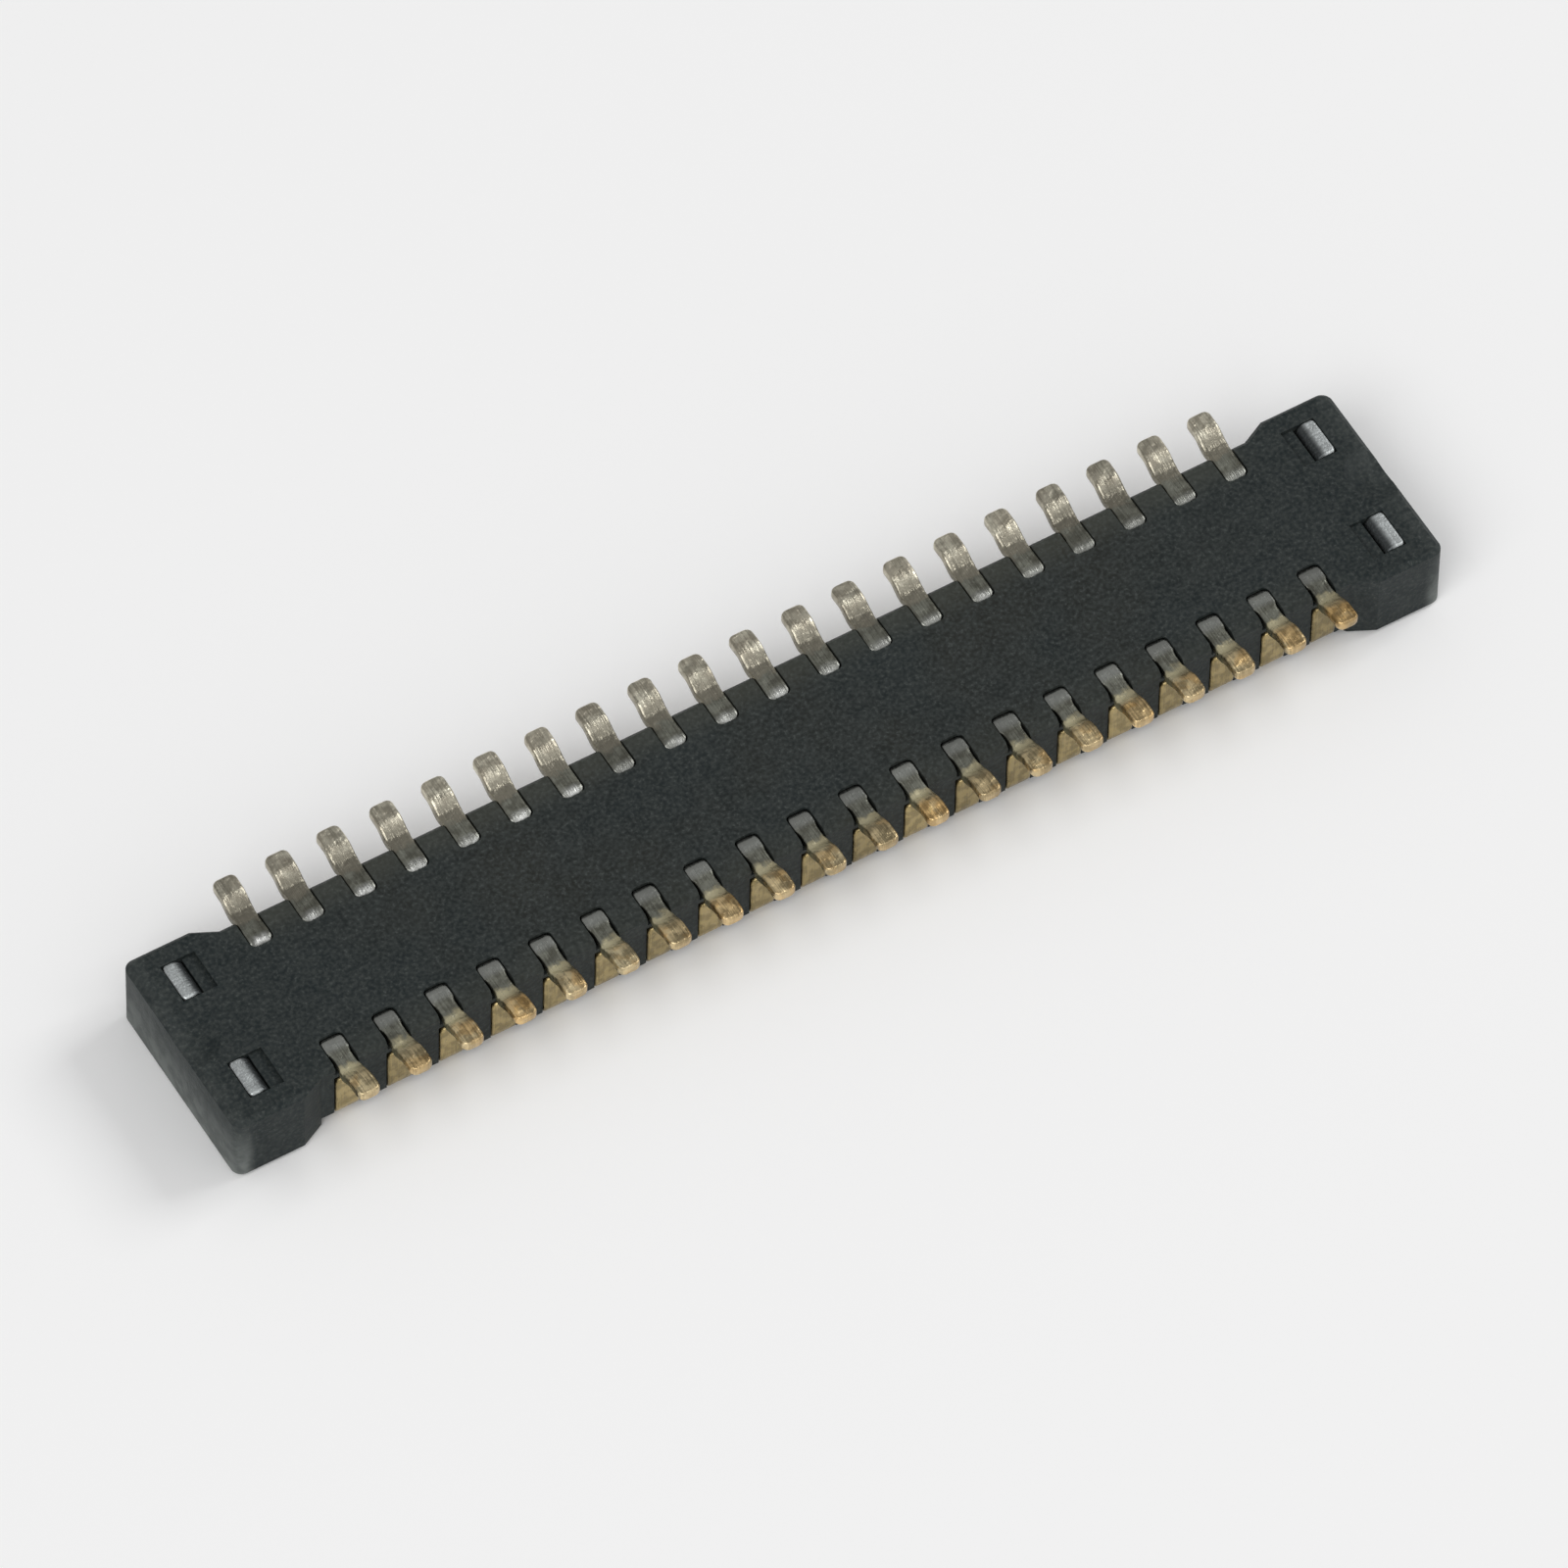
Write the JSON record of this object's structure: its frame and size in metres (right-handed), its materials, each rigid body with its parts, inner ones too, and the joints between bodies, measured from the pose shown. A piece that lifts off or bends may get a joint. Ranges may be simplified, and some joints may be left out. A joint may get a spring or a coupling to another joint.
{
  "type": "board-to-board connector plug",
  "caption": "Low board-to-board plug for a display flex: a moulded housing with a mating valley, two rows of wrap-round contacts and folded hold-downs in its end blocks.",
  "frame": {"origin": "middle of the footprint, on the plane of the mating rims that it lies on", "axes": "+X along the rows, +Y towards the rear row, +Z out of the solder side"},
  "size_m": [0.0094, 0.002, 0.0007],
  "materials": {
    "housing_plastic": "matt moulded plastic, dark cool grey",
    "contact_metal": "gold flash over nickel, satin",
    "hold_down_metal": "tin plated, matt"
  },
  "bodies": {
    "root": {"housing": "housing_plastic", "hold_down_left": "hold_down_metal", "hold_down_right": "hold_down_metal", "contact_front_01": "contact_metal", "contact_front_02": "contact_metal", "contact_front_03": "contact_metal", "contact_front_04": "contact_metal", "contact_front_05": "contact_metal", "contact_front_06": "contact_metal", "contact_front_07": "contact_metal", "contact_front_08": "contact_metal", "contact_front_09": "contact_metal", "contact_front_10": "contact_metal", "contact_front_11": "contact_metal", "contact_front_12": "contact_metal", "contact_front_13": "contact_metal", "contact_front_14": "contact_metal", "contact_front_15": "contact_metal", "contact_front_16": "contact_metal", "contact_front_17": "contact_metal", "contact_front_18": "contact_metal", "contact_front_19": "contact_metal", "contact_front_20": "contact_metal", "contact_rear_01": "contact_metal", "contact_rear_02": "contact_metal", "contact_rear_03": "contact_metal", "contact_rear_04": "contact_metal", "contact_rear_05": "contact_metal", "contact_rear_06": "contact_metal", "contact_rear_07": "contact_metal", "contact_rear_08": "contact_metal", "contact_rear_09": "contact_metal", "contact_rear_10": "contact_metal", "contact_rear_11": "contact_metal", "contact_rear_12": "contact_metal", "contact_rear_13": "contact_metal", "contact_rear_14": "contact_metal", "contact_rear_15": "contact_metal", "contact_rear_16": "contact_metal", "contact_rear_17": "contact_metal", "contact_rear_18": "contact_metal", "contact_rear_19": "contact_metal", "contact_rear_20": "contact_metal"}
  },
  "joints": []
}
